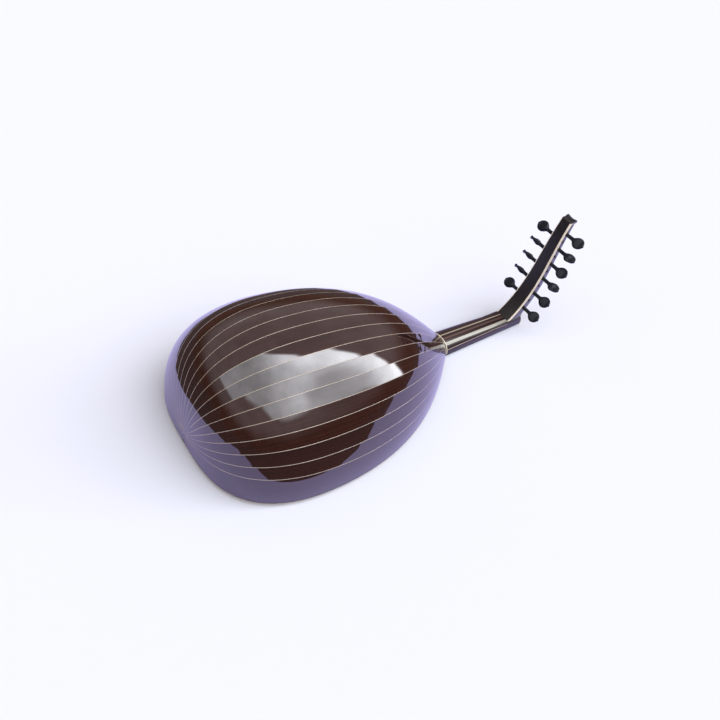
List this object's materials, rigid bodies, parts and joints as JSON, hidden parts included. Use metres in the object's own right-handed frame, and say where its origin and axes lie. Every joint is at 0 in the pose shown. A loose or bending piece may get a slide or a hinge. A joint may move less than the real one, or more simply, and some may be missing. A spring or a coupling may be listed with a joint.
{
  "type": "oud",
  "caption": "Short-necked lute lying face down: deep ribbed wooden bowl, bent-back pegbox with turning pegs, spruce front with three rosettes, strings in pairs.",
  "frame": {"origin": "middle of the bounding box at its lowest plane, which is the outer face of the bridge, with the instrument face down", "axes": "+X along the strings from the tail to the head, +Y to the treble side, +Z from the strings to the back of the bowl"},
  "size_m": [0.7186, 0.3394, 0.2384],
  "materials": {
    "rib_wood": "high-gloss lacquer over very dark rosewood",
    "dark_wood": "gloss lacquer over dark walnut",
    "pegbox_wood": "satin black",
    "peg_wood": "matt ebony",
    "rosette_wood": "satin, pierced",
    "spruce": "thin matt varnish",
    "ebony": "satin",
    "binding": "gloss",
    "bone": "polished bone",
    "string": "smooth nylon"
  },
  "bodies": {
    "instrument": {"rib_01": "rib_wood", "rib_02": "rib_wood", "rib_03": "rib_wood", "rib_04": "rib_wood", "rib_05": "rib_wood", "rib_06": "rib_wood", "rib_07": "rib_wood", "rib_08": "rib_wood", "rib_09": "rib_wood", "rib_10": "rib_wood", "rib_11": "rib_wood", "rib_12": "rib_wood", "rib_13": "rib_wood", "rib_14": "rib_wood", "rib_15": "rib_wood", "rib_16": "rib_wood", "rib_17": "rib_wood", "rib_18": "rib_wood", "rib_19": "rib_wood", "rib_20": "rib_wood", "rib_21": "rib_wood", "soundboard": "spruce", "edge_binding": "binding", "rosette_main": "rosette_wood", "rosette_small_left": "rosette_wood", "rosette_small_right": "rosette_wood", "pickguard": "ebony", "neck_block": "spruce", "tail_block": "spruce", "bridge": "dark_wood", "neck": "dark_wood", "neck_ring": "bone", "fingerboard": "ebony", "nut": "bone", "pegbox_back": "pegbox_wood", "pegbox_cheek_left": "pegbox_wood", "pegbox_cheek_right": "pegbox_wood", "pegbox_head": "pegbox_wood", "string_01": "string", "string_02": "string", "string_03": "string", "string_04": "string", "string_05": "string", "string_06": "string", "string_07": "string", "string_08": "string", "string_09": "string", "string_10": "string", "string_11": "string"},
    "peg_right_1": {"peg_right_1": "peg_wood"},
    "peg_left_1": {"peg_left_1": "peg_wood"},
    "peg_right_2": {"peg_right_2": "peg_wood"},
    "peg_left_2": {"peg_left_2": "peg_wood"},
    "peg_right_3": {"peg_right_3": "peg_wood"},
    "peg_left_3": {"peg_left_3": "peg_wood"},
    "peg_right_4": {"peg_right_4": "peg_wood"},
    "peg_left_4": {"peg_left_4": "peg_wood"},
    "peg_right_5": {"peg_right_5": "peg_wood"},
    "peg_left_5": {"peg_left_5": "peg_wood"},
    "peg_right_6": {"peg_right_6": "peg_wood"}
  },
  "joints": [
    {"name": "peg_right_1_turn", "type": "hinge", "parent": "instrument", "child": "peg_right_1", "pos_m": [0.31417, 0, 0.04963], "axis": [0, 1, 0], "continuous": true},
    {"name": "peg_left_1_turn", "type": "hinge", "parent": "instrument", "child": "peg_left_1", "pos_m": [0.32155, 0, 0.06507], "axis": [0, 1, 0], "continuous": true},
    {"name": "peg_right_2_turn", "type": "hinge", "parent": "instrument", "child": "peg_right_2", "pos_m": [0.32732, 0, 0.08102], "axis": [0, 1, 0], "continuous": true},
    {"name": "peg_left_2_turn", "type": "hinge", "parent": "instrument", "child": "peg_left_2", "pos_m": [0.33167, 0, 0.0972], "axis": [0, 1, 0], "continuous": true},
    {"name": "peg_right_3_turn", "type": "hinge", "parent": "instrument", "child": "peg_right_3", "pos_m": [0.33486, 0, 0.11341], "axis": [0, 1, 0], "continuous": true},
    {"name": "peg_left_3_turn", "type": "hinge", "parent": "instrument", "child": "peg_left_3", "pos_m": [0.33723, 0, 0.12955], "axis": [0, 1, 0], "continuous": true},
    {"name": "peg_right_4_turn", "type": "hinge", "parent": "instrument", "child": "peg_right_4", "pos_m": [0.33909, 0, 0.14555], "axis": [0, 1, 0], "continuous": true},
    {"name": "peg_left_4_turn", "type": "hinge", "parent": "instrument", "child": "peg_left_4", "pos_m": [0.34071, 0, 0.16142], "axis": [0, 1, 0], "continuous": true},
    {"name": "peg_right_5_turn", "type": "hinge", "parent": "instrument", "child": "peg_right_5", "pos_m": [0.34237, 0, 0.17715], "axis": [0, 1, 0], "continuous": true},
    {"name": "peg_left_5_turn", "type": "hinge", "parent": "instrument", "child": "peg_left_5", "pos_m": [0.34426, 0, 0.19273], "axis": [0, 1, 0], "continuous": true},
    {"name": "peg_right_6_turn", "type": "hinge", "parent": "instrument", "child": "peg_right_6", "pos_m": [0.34659, 0, 0.20817], "axis": [0, 1, 0], "continuous": true}
  ]
}
